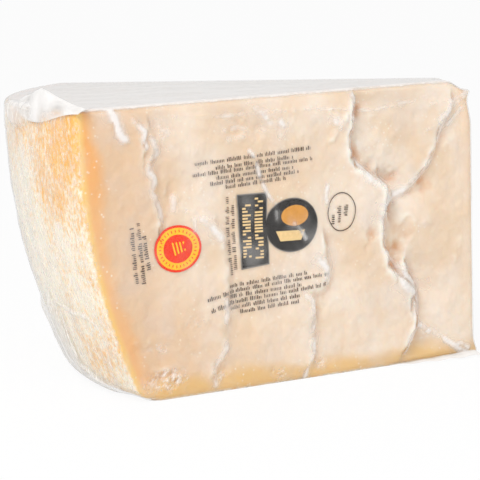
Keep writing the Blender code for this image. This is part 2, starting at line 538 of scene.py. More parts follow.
@dataclass(frozen=True)
class FilmFinish:
    """Clear shrink film: glossy and faintly milky, milkier on loose folds, with white painted highlights on its
    creases, a painted reflection on the top and a broad painted sheen.
    """

    name: str = "clear film"
    milk_and_sheen_colour: Colour = (252, 250, 248)
    through: float = 0.22
    gloss: float = 0.12
    shine_head_on: float = 0.03
    shine_aslant: float = 0.75
    slant_power: float = 5.0
    crinkle: float = 0.3 * MM
    streak_veil: float = 0.4
    broad_sheen: float = 0.24

    def build(self) -> bpy.types.Material:
        """Lays the finish out.

        Returns:
            The material. It reads veil, lay_mm and streaky from the mesh.
        """
        desk = NodeDesk(self.name)
        lay = desk.vector_attribute("lay_mm")
        streaky = desk.attribute("streaky")
        streak = desk.noise(desk.stretched(lay, (0.7, 0.22, 0.5)), 1.0, 3.0, 0.65)
        wide = desk.noise(desk.stretched(lay, (0.06, 0.05, 0.06)), 1.0, 2.0, 0.5)
        ripple = desk.math("MULTIPLY", streak, desk.math("MULTIPLY_ADD", streaky, 0.35, 0.15))
        normal = desk.bump(desk.math("ADD", ripple, wide), self.crinkle, 0.5)
        milk_and_sheen = desk.math("MULTIPLY", desk.span(streak, 0.46, 0.66, 0.0, self.streak_veil), streaky)
        # Painted sheen: broad soft patches of white that stand in for gloss reflections on the film.
        milk_and_sheen = desk.math("ADD", milk_and_sheen, desk.span(wide, 0.42, 0.72, 0.0, self.broad_sheen))
        # The mesh's share adds the milky film together with the painted highlights on creases and the painted
        # reflection on the top.
        milk_and_sheen = desk.math("MINIMUM", desk.math("ADD", desk.attribute("veil_and_sheen"), milk_and_sheen), 1.0)
        clear = desk.add("BsdfTransparent")
        milky = desk.add("MixShader", Fac=self.through)
        desk.feed(milky.inputs[1], desk.add("BsdfDiffuse", Color=linear(self.milk_and_sheen_colour)).outputs[0])
        desk.feed(milky.inputs[2], desk.add("BsdfTranslucent", Color=linear(self.milk_and_sheen_colour)).outputs[0])
        sheet = desk.add("MixShader", Fac=milk_and_sheen)
        desk.feed(sheet.inputs[1], clear.outputs[0])
        desk.feed(sheet.inputs[2], milky.outputs[0])
        mirror = desk.add("BsdfGlossy", Roughness=self.gloss, Normal=normal)
        slant = desk.math("POWER", desk.add("LayerWeight").outputs["Facing"], self.slant_power)
        shine = desk.math("MULTIPLY_ADD", slant, self.shine_aslant - self.shine_head_on, self.shine_head_on)
        outer = desk.math("SUBTRACT", 1.0, desk.add("NewGeometry").outputs["Backfacing"])
        skin = desk.add("MixShader", Fac=desk.math("MULTIPLY", shine, outer))
        desk.feed(skin.inputs[1], sheet.outputs[0])
        desk.feed(skin.inputs[2], mirror.outputs[0])
        return desk.finish(skin)


@dataclass(frozen=True)
class InkFinish:
    """One flat ink printed on the film, a little uneven where it dried."""

    name: str
    colour: Colour
    roughness: float = 0.35

    def build(self) -> bpy.types.Material:
        """Returns the ink's material."""
        desk = NodeDesk(self.name)
        patchy = desk.noise(desk.place(), 900.0, 2.0)
        thin = linear(tuple(min(255.0, channel + 16) for channel in self.colour))
        colour = desk.blend(desk.span(patchy, 0.4, 0.7, 0.0, 0.6), linear(self.colour), thin)
        shader = desk.add("BsdfPrincipled", Base_Color=colour, Roughness=self.roughness)
        shader.inputs["Specular IOR Level"].default_value = 0.1
        return desk.finish(shader)


@dataclass(frozen=True)
class StageFinish:
    """Plain pale ground that the camera sees as white, with the shadow kept."""

    colour: Colour = (244, 244, 244)
    white_share: float = 0.92

    def build(self) -> bpy.types.Material:
        """Returns the ground's material."""
        desk = NodeDesk("plain ground")
        matt = desk.add("BsdfDiffuse", Color=linear(self.colour))
        white = desk.add("Emission", Strength=1.0)
        path = desk.add("LightPath")
        seen = desk.math("MAXIMUM", path.outputs["Is Camera Ray"], path.outputs["Is Glossy Ray"])
        seen = desk.math("MAXIMUM", seen, path.outputs["Is Transmission Ray"])
        mix = desk.add("MixShader", Fac=desk.math("MULTIPLY", seen, self.white_share))
        desk.feed(mix.inputs[1], matt.outputs[0])
        desk.feed(mix.inputs[2], white.outputs[0])
        return desk.finish(mix)


# ---------------------------------------------------------------------------------------------
# The shape of the chunk
# ---------------------------------------------------------------------------------------------


@dataclass(frozen=True)
class Break:
    """A broken edge on a split face: it rises to a crest, drops steeply and levels off again.

    The line holds (distance from the rind, height) in millimetres, listed from the top down.
    """

    line: Line
    crest: float
    drop: float
    before: float
    after: float
    cliff: float = 3.8
    end_fade: float = 13.0

    def relief(self, spots: Grid) -> Grid:
        """How far the face stands out, in millimetres.

        Args:
            spots: rows of (distance from the rind, height) in millimetres.

        Returns:
            One height of relief for each spot.
        """
        points = np.array(self.line[::-1])
        side = np.sign(spots[:, 0] - np.interp(spots[:, 1], points[:, 1], points[:, 0]))
        gap = to_line(spots, self.line)
        rise = self.crest * np.exp(-gap / self.before)
        level = self.crest - (self.crest + self.drop) * smooth_step(gap / self.cliff)
        fall = level * np.exp(-np.maximum(gap - self.cliff, 0) / self.after)
        return np.where(side < 0, rise, fall) * self.near_ends(spots)

    def near_ends(self, spots: Grid) -> Grid:
        """Share that dies away above and below the ends of the line."""
        inside = np.minimum(spots[:, 1] - self.line[-1][1], self.line[0][1] - spots[:, 1])
        return smooth_step(1 + inside / self.end_fade)

    def below(self, spots: Grid) -> Grid:
        """How close each spot is to the line on its low side, 0 to 1, more under a deep drop."""
        points = np.array(self.line[::-1])
        side = spots[:, 0] > np.interp(spots[:, 1], points[:, 1], points[:, 0])
        near = np.exp(-np.maximum(to_line(spots, self.line) - self.cliff, 0) / 9.0)
        return near * side * self.near_ends(spots) * min(1.0, self.drop / 4.0)


FRONT_BREAKS = (
    Break(((130, 116), (131, 110), (129, 105), (131, 102), (129, 98), (128, 91), (129, 87), (134, 82),
           (140, 76), (147, 74), (151, 70)), 1.5, 4.2, 15, 17, 4.0),
    Break(((146, 73), (144, 65), (144, 57), (145, 50), (148, 44), (151, 38), (157, 33), (160, 30)),
          1.5, 4.0, 12, 16, 3.6),
    Break(((160, 36), (164.5, 31), (163, 24), (161, 15), (155, 5)), 1.4, 2.8, 9, 18, 3.4),
    Break(((184, 108), (176, 97), (174, 90), (169, 81), (162, 74), (152, 69)), 1.3, 0.9, 7, 10),
    Break(((115, 52), (114, 48), (116, 43), (115, 39), (106, 35), (108, 30), (107, 22), (107, 10), (103, 2)),
          1.1, 1.4, 11, 12, 5.0),
    Break(((64, 62), (66, 48), (65, 34), (64, 24), (64, 18), (59, 10), (59, 3)), 0.9, 0.8, 8, 11, 5.0),
    Break(((33, 104), (35, 99), (31, 94), (30, 90), (33, 87), (32, 82), (34, 78), (36, 69)), 0.9, 0.9, 9, 10, 4.0),
    Break(((25, 111), (28, 107), (30, 104), (29, 98)), 0.8, 0.6, 5, 7, 2.4),
)

BACK_BREAKS = (
    Break(((60, 114), (66, 104), (62, 92), (72, 80), (84, 70), (88, 58), (98, 46), (101, 34), (112, 24),
           (116, 8)), 1.3, 3.0, 14, 18, 5.0),
    Break(((150, 113), (144, 100), (133, 92), (128, 80), (112, 72), (96, 64)), 1.1, 2.2, 12, 16, 4.6),
    Break(((30, 80), (34, 66), (28, 52), (36, 38), (33, 22)), 0.7, 0.9, 8, 11, 5.0),
    Break(((176, 62), (165, 50), (156, 34), (144, 24)), 0.9, 1.5, 9, 14, 5.0),
)


@dataclass(frozen=True)
class Spot:
    """An oval patch of a split face, with how much of something it has; millimetres."""

    along: float
    height: float
    half_length: float
    half_height: float
    amount: float

    def share(self, spots: Grid) -> Grid:
        """How deep inside the patch each spot is, 0 to 1."""
        across = (spots[:, 0] - self.along) / self.half_length
        up = (spots[:, 1] - self.height) / self.half_height
        return ramp(np.hypot(across, up), 1.0, 0.15)


def total(patches: tuple[Spot, ...], spots: Grid) -> Grid:
    """What all the patches together give each spot."""
    return sum((one.amount * one.share(spots) for one in patches), np.zeros(len(spots)))


FRONT_SCOOPS = (
    # small flakes broken out beside the breaks; the finish also lays painted shade in them
    Spot(134.5, 106, 6, 6, 0.9),
    Spot(133, 88, 7, 7, 0.9),
    Spot(143.5, 77.5, 8, 4, 0.65),
    Spot(154, 77, 9, 3.5, 0.8),
    Spot(154, 46, 6, 9, 1.0),
    Spot(139.5, 54.5, 3.5, 6, 0.8),
    Spot(159, 55.5, 10, 5, 0.8),
    Spot(151, 61.5, 6, 8, 0.7),
    Spot(170, 74, 8, 7, 0.7),
    Spot(177, 92, 8, 6, 0.5),
    Spot(163, 25, 6, 10, 0.6),
)

FRONT_CRUMBS = (
    # where the split face is crumbly
    Spot(37, 8, 14, 7, 1.0),
    Spot(62.5, 6, 5, 3.5, 0.7),
    Spot(91, 4, 5, 3, 0.6),
    Spot(113, 5.5, 5, 4, 0.6),
    Spot(34, 20.5, 10, 3.5, 0.4),
    Spot(52, 29, 10, 4, 0.3),
)

FRONT_DENTS = (
    Spot(153, 92, 22, 20, 1.0),
    Spot(174, 50, 18, 24, 0.9),
    Spot(154, 37, 5, 6, 1.4),
    Spot(123, 102, 5, 5, -1.0),
    Spot(119, 97, 4, 3, -0.7),
    Spot(79, 103, 16, 5, 0.8),
    Spot(101, 22, 7, 17, -0.6),
    Spot(76, 28, 8, 24, 0.6),
    Spot(36, 8, 10, 6, 0.8),
    Spot(62, 6, 4, 4, 0.7),
    Spot(91, 4, 4, 3, 0.7),
    Spot(132, 24, 20, 18, -0.5),
    Spot(48, 88, 14, 16, 0.5),
    Spot(44, 78, 3, 6, 0.6),
    *FRONT_SCOOPS,
)


@dataclass
class Wheel:
    """The wheel that the chunk was cut from, in millimetres, and where the chunk stands.

    The chunk's own corner, where the rind meets the front face, is the zero of its millimetres:
    x runs along the front face to the tip, y to the back, z up.
    """

    radius: float = 204.8
    height: float = 115.1
    angle: float = math.radians(57.9)
    plate_inset: float = 26.3
    barrel_power: float = 2.3
    rise_to_tip: float = 0.0102
    fall_to_back: float = 0.0100
    rim_blunt: float = 0.17
    back_corner: float = 171.92
    corner: Vector = field(default_factory=Vector)

    def stand(self, node: str) -> None:
        """Finds the chunk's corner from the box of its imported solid.

        Args:
            node: the solid's name.
        """
        low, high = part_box(node)
        self.corner = Vector((low[0] - self.rim_blunt * MM, high[1] - self.back_corner * MM, 0))

    def world(self, x: float, y: float, z: float) -> Vector:
        """A place in the chunk's millimetres as a place in the scene."""
        return self.corner + Vector((x, y, z)) * MM

    def local(self, points: Grid) -> Grid:
        """Places in the scene as places in the chunk's millimetres."""
        return (points - np.array(self.corner)) / MM

    def rind_radius(self, height: float | Grid) -> float | Grid:
        """Radius of the barrel-shaped side at a height above the plate."""
        return self.radius - self.plate_inset * np.maximum(0, 1 - height / self.height) ** self.barrel_power

    def top_at(self, local: Grid) -> Grid:
        """Height of the cut top above each place."""
        return self.height + self.rise_to_tip * local[:, 0] - self.fall_to_back * local[:, 1]

    def outward(self, side: Side) -> Grid:
        """The direction that a split face looks in."""
        if side is Side.FRONT:
            return np.array([0.0, -1.0, 0.0])
        return np.array([math.sin(self.angle), math.cos(self.angle), 0.0])

    def face_spots(self, local: Grid, side: Side) -> Grid:
        """Rows of (distance from the rind's rim, height) of places on a split face."""
        turn = 0.0 if side is Side.FRONT else self.angle
        from_axis = local[:, :2] - np.array([self.radius, 0.0])
        run = from_axis @ np.array([-math.cos(turn), math.sin(turn)])
        return np.column_stack([self.radius - run, local[:, 2]])

    def around(self, local: Grid) -> tuple[Grid, Grid]:
        """Each place's turn about the wheel's axis from the front face, and its distance from the axis."""
        across = self.radius - local[:, 0]
        return np.arctan2(local[:, 1], across), np.hypot(local[:, 1], across)


@dataclass
class Cheese:
    """The chunk itself: a sector with blunt edges, split faces in relief and a rough rind."""

    wheel: Wheel
    finish: CheeseFinish
    section_cuts: int = 23
    spin_steps: int = 40
    tip_bevel: float = 12.5
    foot_bevel: float = 9.0
    edge_bevel: float = 3.5
    voxel: float = 1.4
    smooth_passes: int = 12
    edge_fade: float = 8.0
    shoulder_drop: float = 4.5
    tip_wear: float = 2.6
    corner_wear: float = 2.5
    grain: float = 0.2
    lumps: float = 0.45
    flakes: float = 0.7
    cavity_passes: int = 40
    face_reach: float = 2.0
    warp_size: float = 6.0
    break_warp: float = 1.1
    dent_warp: float = 3.0
    lump_size: float = 17.0
    flake_size: float = 6.5
    grain_size: float = 3.4
    crumb_size: float = 2.1
    crumb_height: float = 0.8
    crust_height: float = 0.35
    crust_size: float = 4.0
    crust_sink: float = 0.2

    def blank(self) -> bpy.types.Object:
        """Spins the radial section round the wheel's axis and blunts the sector's edges."""
        wheel = self.wheel
        axis = wheel.world(wheel.radius, 0, 0)
        bpy.ops.object.select_all(action="DESELECT")
        bpy.ops.mesh.primitive_plane_add(size=1, location=(0, 0, 0))
        thing = bpy.context.object
        thing.name = "cheese"
        bpy.ops.object.mode_set(mode="EDIT")
        bpy.ops.mesh.subdivide(number_cuts=self.section_cuts)
        bpy.ops.object.mode_set(mode="OBJECT")
        flat, _ = read_points(thing)
        height = (flat[:, 1] + 0.5) * wheel.height
        reach = (0.5 - flat[:, 0]) * wheel.rind_radius(height) * MM
        write_points(thing, np.column_stack([axis.x - reach, np.full(len(flat), axis.y), height * MM]))
        bpy.ops.object.mode_set(mode="EDIT")
        bpy.ops.mesh.select_all(action="SELECT")
        bpy.ops.mesh.spin(steps=self.spin_steps, angle=wheel.angle, center=axis, axis=(0, 0, 1))
        bpy.ops.mesh.select_all(action="SELECT")
        bpy.ops.mesh.remove_doubles(threshold=0.01 * MM)
        bpy.ops.mesh.normals_make_consistent(inside=False)
        bpy.ops.object.mode_set(mode="OBJECT")
        self.bevel_edges(thing, self.is_tip, self.tip_bevel)
        self.bevel_edges(thing, self.is_foot, self.foot_bevel)
        return thing

    def is_tip(self, first: Grid, second: Grid) -> bool:
        """True if both ends of an edge lie on the wheel's axis."""
        return all(math.hypot(end[0] - self.wheel.radius, end[1]) < 0.1 for end in (first, second))

    def is_foot(self, first: Grid, second: Grid) -> bool:
        """True if both ends of an edge lie where the rind meets the base."""
        base = self.wheel.rind_radius(0.0)
        ends = (first, second)
        return all(
            end[2] < 0.1 and abs(math.hypot(end[0] - self.wheel.radius, end[1]) - base) < 0.1 for end in ends
        )

    def bevel_edges(self, thing: bpy.types.Object, chosen: object, width: float) -> None:
        """Rounds the edges of the blank that a test picks.

        Args:
            thing: the blank.
            chosen: a test of an edge's two ends, in the chunk's millimetres.
            width: how far the rounding reaches, in millimetres.
        """
        local = self.wheel.local(read_points(thing)[0])
        ends = (edge.vertices for edge in thing.data.edges)
        edit_only(thing, "EDGE", [bool(chosen(local[first], local[second])) for first, second in ends])
        bpy.ops.mesh.bevel(offset=width * MM, segments=6, affect="EDGES")
        bpy.ops.object.mode_set(mode="OBJECT")

    def refine_front(self, thing: bpy.types.Object) -> None:
        """Halves the mesh size on the front face."""
        facing = np.empty(len(thing.data.polygons) * 3)
        thing.data.polygons.foreach_get("normal", facing)
        middle = np.empty_like(facing)
        thing.data.polygons.foreach_get("center", middle)
        middle = self.wheel.local(middle.reshape(-1, 3))
        edit_only(thing, "FACE", (facing.reshape(-1, 3)[:, 1] < -0.5) & (middle[:, 1] < self.face_reach))
        bpy.ops.mesh.subdivide(number_cuts=1)
        bpy.ops.object.mode_set(mode="OBJECT")

    def split_relief(self, local: Grid, side: Side) -> Grid:
        """Relief of a split face in millimetres: its breaks and hollows, warped and grained.

        Args:
            local: places on the face.
            side: which split face.

        Returns:
            How far each place moves out.
        """
        front = side is Side.FRONT
        spots = self.wheel.face_spots(local, side)
        wobble = Noise(11 if front else 12)
        at = local / self.warp_size
        warp = np.column_stack([wobble.layered(at, 3), wobble.layered(at + 9.1, 3)])
        warped = spots + self.break_warp * warp
        breaks = FRONT_BREAKS if front else BACK_BREAKS
        relief = sum(one.relief(warped) for one in breaks)
        relief = relief - total(FRONT_DENTS if front else (), spots + self.dent_warp * warp)
        relief += self.lumps * Noise(21).layered(local / self.lump_size, 2)
        below = np.maximum.reduce([one.below(warped) for one in breaks])
        relief += self.flakes * (0.1 + below) * Noise(36).layered(local / self.flake_size, 3, 0.6)
        relief += self.grain * Noise(31).layered(local / self.grain_size, 3, 0.6)
        crumbs = self.crumb_height * total(FRONT_CRUMBS if front else (), spots)
        relief += crumbs * Noise(41).layered(local / self.crumb_size, 2)
        return relief

    def shape(self, thing: bpy.types.Object) -> None:
        """Gives the even mesh its relief, its sloping top and a flat base, and stores what the finish reads."""
        wheel = self.wheel
        points, normals = read_points(thing)
        local = wheel.local(points)
        turn, reach = wheel.around(local)
        raised = np.zeros(len(local))
        scoop = np.zeros(len(local))
        moved = local.copy()
        for side in Side:
            outward = wheel.outward(side)
            depth = -(local - np.array([wheel.radius, 0, 0])) @ outward
            on_face = (np.abs(depth) < self.face_reach) & (normals @ outward > 0.7)
            spots = wheel.face_spots(local[on_face], side)
            rim_gap = wheel.rind_radius(spots[:, 1]) - (wheel.radius - spots[:, 0])
            to_edge = np.minimum.reduce([rim_gap, wheel.radius - 6 - spots[:, 0], spots[:, 1],
                                         wheel.height - spots[:, 1]])
            relief = self.split_relief(local[on_face], side) * (0.12 + 0.88 * ramp(to_edge, 0.5, self.edge_fade))
            moved[on_face] += relief[:, None] * outward
            raised[on_face] = relief
            if side is Side.FRONT:
                scoop[on_face] = total(FRONT_SCOOPS, spots)
        on_rind = (np.abs(reach - wheel.rind_radius(local[:, 2])) < 1.0) & (local[:, 2] > 6)
        along = np.column_stack([turn * wheel.radius, local[:, 2] * 0.45, np.zeros(len(local))])
        crust = self.crust_height * Noise(51).layered(along / self.crust_size, 3, 0.6) - self.crust_sink
        moved[on_rind] += (crust[:, None] * normals)[on_rind]
        moved[:, 2] *= wheel.top_at(moved) / wheel.height
        shoulder = ramp(reach, 24.0, 6.5) * ramp(local[:, 2], 88.0, wheel.height)
        moved[:, 2] -= self.shoulder_drop * shoulder
        worn = self.tip_wear + self.corner_wear * ramp(local[:, 2], 96.0, wheel.height)
        moved[:, 0] -= worn * ramp(reach, 26.0, 5.0)
        moved[local[:, 2] < 0.4, 2] = 0.0
        write_points(thing, moved * MM + np.array(wheel.corner))
        self.store_zones(thing, local, reach, normals)
        sunk = evened(thing, raised, self.cavity_passes) - raised
        # Painted shade: points that sit below their evened surroundings, and the scoops, get tan in the finish.
        write_attribute(thing, "hollow_shade", np.clip(0.8 * sunk + 0.75 * scoop - 0.1, 0, 1))
        # Painted highlight: points that stand above their evened surroundings get white in the finish.
        write_attribute(thing, "crest", np.clip(-1.1 * sunk - 0.15, 0, 0.8))

    def store_zones(self, thing: bpy.types.Object, local: Grid, reach: Grid, normals: Grid) -> None:
        """Stores how deep each point lies under the rind, its height, and what is rind.

        Args:
            thing: the cheese.
            local: its points before the relief.
            reach: their distances from the wheel's axis.
            normals: their normals.
        """
        wheel = self.wheel
        depth = wheel.rind_radius(local[:, 2]) - reach
        across = np.column_stack([local[:, 0] - wheel.radius, local[:, 1]])
        facing = np.einsum("ij,ij->i", across, normals[:, :2]) / np.maximum(reach, 1)
        rind = ramp(facing, 0.45, 0.8) * ramp(depth, 6.0, 2.0)
        under = ramp(-normals[:, 2], 0.5, 0.8) * ramp(local[:, 2], 3.0, 1.0)
        write_attribute(thing, "depth_mm", depth)
        write_attribute(thing, "around_mm", wheel.around(local)[0] * wheel.radius)
        write_attribute(thing, "height_mm", local[:, 2])
        write_attribute(thing, "rind", np.maximum(rind, under))

    def build(self) -> bpy.types.Object:
        """Models and dresses the cheese.

        Returns:
            The cheese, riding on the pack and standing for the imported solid.
        """
        thing = self.blank()
        apply_modifier(thing, "BEVEL", width=self.edge_bevel * MM, segments=3, limit_method="ANGLE",
                       angle_limit=math.radians(35))
        apply_modifier(thing, "REMESH", mode="VOXEL", voxel_size=self.voxel * MM)
        apply_modifier(thing, "SMOOTH", factor=0.5, iterations=self.smooth_passes)
        self.refine_front(thing)
        self.shape(thing)
        shade_smooth(thing)
        settle(thing, self.finish.build())
        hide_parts("cheese_pack")
        return thing


# ---------------------------------------------------------------------------------------------
# The bag
# ---------------------------------------------------------------------------------------------


@dataclass(frozen=True)
class Crease:
    """A raised fold in the film, along a line in the millimetres of the surface that it lies on. The white along
    the fold is a painted highlight.
    """

    line: Line
    lift: float = 0.6
    half_width: float = 1.0
    veil_and_sheen: float = 0.7

    def share(self, spots: Grid) -> Grid:
        """How much of the fold's height each spot has, 0 to 1."""
        return np.exp(-((to_line(spots, self.line) / (1.5 * self.half_width)) ** 2))


# Each crease is whitened along its line: a painted highlight where the fold would catch the light.
FRONT_CREASES = (
    # short bright folds near the top left
    Crease(((15, 115.5), (16.5, 112), (18.5, 106), (21, 103)), 0.7, 1.0, 0.8),
    Crease(((25, 110), (27.5, 107.6), (30, 105.5), (29, 102.5), (30.4, 99.7)), 0.6, 0.7, 0.7),
    Crease(((37.7, 107), (40.1, 104.1), (39.2, 102)), 0.5, 1.2, 0.5),
    Crease(((33, 104), (35, 100), (36, 96.5), (31.5, 94), (30.4, 90), (33.7, 87.3), (32.8, 82), (34.2, 78.4),
            (36, 74.7), (37, 69.3)), 0.4, 0.9, 0.5),
    Crease(((42.7, 79), (43, 74)), 0.4, 0.9, 0.5),
    Crease(((48.8, 73), (51.7, 70), (52, 66)), 0.4, 0.6, 0.6),
    Crease(((55.6, 69.5), (59.4, 67.4), (61.5, 64.7), (64, 61.5)), 0.4, 0.8, 0.55),
    # folds above the label and across it
    Crease(((80.8, 111.8), (85, 109.4), (87.7, 107.8), (89.9, 105.5)), 0.5, 0.6, 0.8),
    Crease(((94.4, 105.6), (95.7, 103.9)), 0.4, 0.6, 0.7),
    Crease(((95.2, 102), (94.2, 99.4)), 0.4, 0.5, 0.6),
    Crease(((67.4, 103.7), (74.4, 104.7), (79.6, 103)), 0.3, 0.7, 0.3),
    Crease(((69, 100), (77.8, 100.5), (86.7, 102.4)), 0.3, 0.7, 0.3),
    Crease(((79, 95), (82, 92), (84, 85), (86, 80), (88.6, 75.4), (91.7, 72), (91.5, 67)), 0.5, 0.5, 0.6),
    Crease(((100, 64.2), (103.6, 61), (105.8, 57.4)), 0.4, 0.45, 0.5),
    Crease(((120.5, 104), (123, 101.5)), 0.4, 1.4, 0.6),
    Crease(((117.3, 77.5), (116.7, 73), (118, 68.6)), 0.4, 0.6, 0.7),
    # the taut line along the top, with a painted highlight
    Crease(((44, 110.4), (65, 109.2), (92, 110), (112, 109.6), (143, 107), (174, 111.6)), 0.2, 0.35, 0.35),
    # painted highlights along the crests of the breaks
    Crease(((131.2, 113.6), (133, 109.8), (130.3, 104.8), (133, 103), (130.8, 98.8), (129.8, 93), (130.6, 88.4),
            (135.7, 83.6), (138.8, 77), (147, 75.5), (152, 71.5)), 0.4, 0.8, 0.7),
    Crease(((150, 70), (147, 64), (146.5, 58), (147.5, 51), (149.5, 45), (152, 39), (156, 33), (161, 30.5)),
           0.35, 0.9, 0.6),
    Crease(((152, 44), (157, 40), (160, 35.5), (166.5, 32), (165, 24.5), (162.5, 15.5), (157, 6)), 0.35, 0.8, 0.65),
    Crease(((183, 107), (178, 100), (176, 94), (173, 86), (168, 78.5), (160, 72.5), (153, 69.5)), 0.35, 0.8, 0.55),
    Crease(((112.5, 48), (115.8, 44.3), (116.6, 39.4)), 0.4, 0.9, 0.6),
    Crease(((104, 35.3), (108, 32), (109.5, 26.4), (108.4, 17), (108.6, 10), (105.2, 6.3), (104.5, 1.6)),
           0.35, 0.7, 0.65),
    Crease(((66, 36), (65.4, 27), (65.5, 18), (63, 14), (59.3, 10), (60.3, 3.4)), 0.35, 0.7, 0.5),
    # folds that run out to the tip
    Crease(((194, 112.6), (170, 97)), 0.5, 0.8, 0.45),
    Crease(((194, 112.6), (184, 108.5), (172, 108)), 0.4, 0.6, 0.45),
    Crease(((193, 109), (182, 99)), 0.4, 0.6, 0.4),
    Crease(((163.5, 16.4), (176, 9.5), (183, 5), (189.6, 1)), 0.7, 0.7, 0.85),
    Crease(((183, 5), (187, 5.2), (191, 3)), 0.5, 0.5, 0.6),
)


RIND_CREASES = (
    # at the slack foot, with painted highlights; places are (3.5 mm for each degree round the rind, height)
    Crease(((64, 33), (48, 36.5), (34, 34.3), (17, 34), (10, 30.5)), 0.6, 0.7, 0.5),
    Crease(((10, 30.5), (9.5, 22), (16, 5)), 0.3, 0.5, 0.4),
    Crease(((47, 32), (49, 26), (50, 19.7), (52, 9.6), (33, 6.5), (16, 4.7)), 0.4, 0.6, 0.8),
)


@dataclass
class Bag:
    """The film drawn tight over the chunk, bridging its hollows, with its creases, its milky film, and the painted
    highlights and painted reflection on it.
    """

    wheel: Wheel
    finish: FilmFinish
    clearance: float = 0.5
    most_gap: float = 1.6
    bridge_passes: int = 26
    veil_and_sheen: float = 0.02
    bridge_veil: float = 0.22
    top_reflection: float = 0.86
    rind_step: float = 3.5
    break_up_size: float = 3.6
    crumb_size: float = 1.3

    def build(self, cheese: bpy.types.Object) -> bpy.types.Object:
        """Models and dresses the tight part of the bag.

        Args:
            cheese: the finished cheese, whose mesh the film starts from.

        Returns:
            The film, a closed skin just outside the cheese.
        """
        select_only(cheese)
        bpy.ops.object.duplicate()
        film = bpy.context.object
        film.name = "bag"
        for name in ("depth_mm", "around_mm", "height_mm", "rind", "hollow_shade", "crest"):
            film.data.attributes.remove(film.data.attributes[name])
        cheese_points, _ = read_points(film)
        apply_modifier(film, "SMOOTH", factor=0.5, iterations=self.bridge_passes)
        smooth, normals = read_points(film)
        stand = np.einsum("ij,ij->i", cheese_points - smooth, normals) / MM
        loose = ramp(-stand, 0.0, 0.9)
        gap = np.clip(stand, 0, self.most_gap) + self.clearance
        local = self.wheel.local(smooth)
        lift, veil_and_sheen = self.folds(local, normals)
        # Painted reflection: the film on the top, which faces up, gets much more white; the creases add their
        # painted highlights.
        veil_and_sheen = self.veil_and_sheen + self.bridge_veil * loose + veil_and_sheen + self.top_reflection * ramp(normals[:, 2], 0.6, 0.95)
        write_points(film, smooth + ((gap + lift) * MM)[:, None] * normals)
        apply_modifier(film, "SMOOTH", factor=0.4, iterations=1)
        self.flatten_base(film)
        lay, streaky = self.lay(local, normals)
        write_attribute(film, "veil_and_sheen", np.clip(veil_and_sheen, 0, 1))
        write_attribute(film, "lay_mm", lay)
        write_attribute(film, "streaky", streaky)
        shade_smooth(film)
        settle(film, self.finish.build())
        return film

    def flatten_base(self, film: bpy.types.Object) -> None:
        """Keeps the film above the surface that the pack stands on."""
        points, _ = read_points(film)
        points[:, 2] = np.maximum(points[:, 2], 0.0)
        write_points(film, points)

    def folds(self, local: Grid, normals: Grid) -> tuple[Grid, Grid]:
        """Lift in millimetres and veil of the film's creases and slack places.

        Args:
            local: places in the chunk's millimetres.
            normals: the skin's normals there.

        Returns:
            One lift and one share of veil for each place.
        """
        spots = self.wheel.face_spots(local, Side.FRONT)
        front = ramp(-normals[:, 1], 0.4, 0.8)
        lift = np.zeros(len(local))
        veil_and_sheen = np.zeros(len(local))
        break_up = np.clip(0.66 + 0.9 * Noise(61).layered(local / self.break_up_size, 3), 0.1, 1.1)
        for crease in FRONT_CREASES:
            share = crease.share(spots) * front
            lift += 0.5 * crease.lift * share
            # Painted highlight: white along each crease, broken up in places.
            veil_and_sheen = np.maximum(veil_and_sheen, crease.veil_and_sheen * (1.1 * share + 0.3 * share**0.15) * break_up)
        crumbly = 0.24 + 0.75 * Noise(66).layered(local / self.crumb_size, 3, 0.7)
        crumbs = total(FRONT_CRUMBS, spots) * front * crumbly
        veil_and_sheen = np.maximum(veil_and_sheen, crumbs)
        rind_lift, rind_veil_and_sheen = self.rind_slack(local, normals)
        return lift + rind_lift, np.maximum(veil_and_sheen, rind_veil_and_sheen)

    def rind_slack(self, local: Grid, normals: Grid) -> tuple[Grid, Grid]:
        """Lift and veil where the film hangs loose of the rind, at its top rim and round its foot.

        Args:
            local: places in the chunk's millimetres.
            normals: the skin's normals there.

        Returns:
            One lift in millimetres and one share of veil for each place.
        """
        turn, _ = self.wheel.around(local)
        spots = np.column_stack([np.degrees(turn), local[:, 2]])
        on_rind = ramp(-normals[:, 0], 0.1, 0.5) * ramp(-normals[:, 1], 0.9, 0.6)
        wide = spots * np.array([self.rind_step, 1.0])
        gather = np.exp(-((np.hypot(wide[:, 0] - 60, wide[:, 1] - 33.5) / 5.0) ** 2))
        slack = ramp(wide[:, 0], 48, 54) * ramp(spots[:, 1], 34, 30) * ramp(wide[:, 0], 105, 88)
        foot = ramp(spots[:, 1], 9.0, 6.0) * ramp(wide[:, 0], 16, 34) * ramp(wide[:, 0], 105, 88)
        slack = np.maximum(slack, foot)
        bubble = ramp(np.hypot((wide[:, 0] - 60) / 24, (spots[:, 1] - 113) / 8), 1.0, 0.6)
        lift = 1.5 * gather + 1.2 * slack + 1.6 * bubble
        veil_and_sheen = np.maximum.reduce([0.7 * gather, 0.45 * slack, 0.55 * bubble])
        for fold in RIND_CREASES:
            share = fold.share(wide)
            lift += fold.lift * share
            # Painted highlight: white along each fold.
            veil_and_sheen = np.maximum(veil_and_sheen, fold.veil_and_sheen * share)
        return lift * on_rind, veil_and_sheen * on_rind

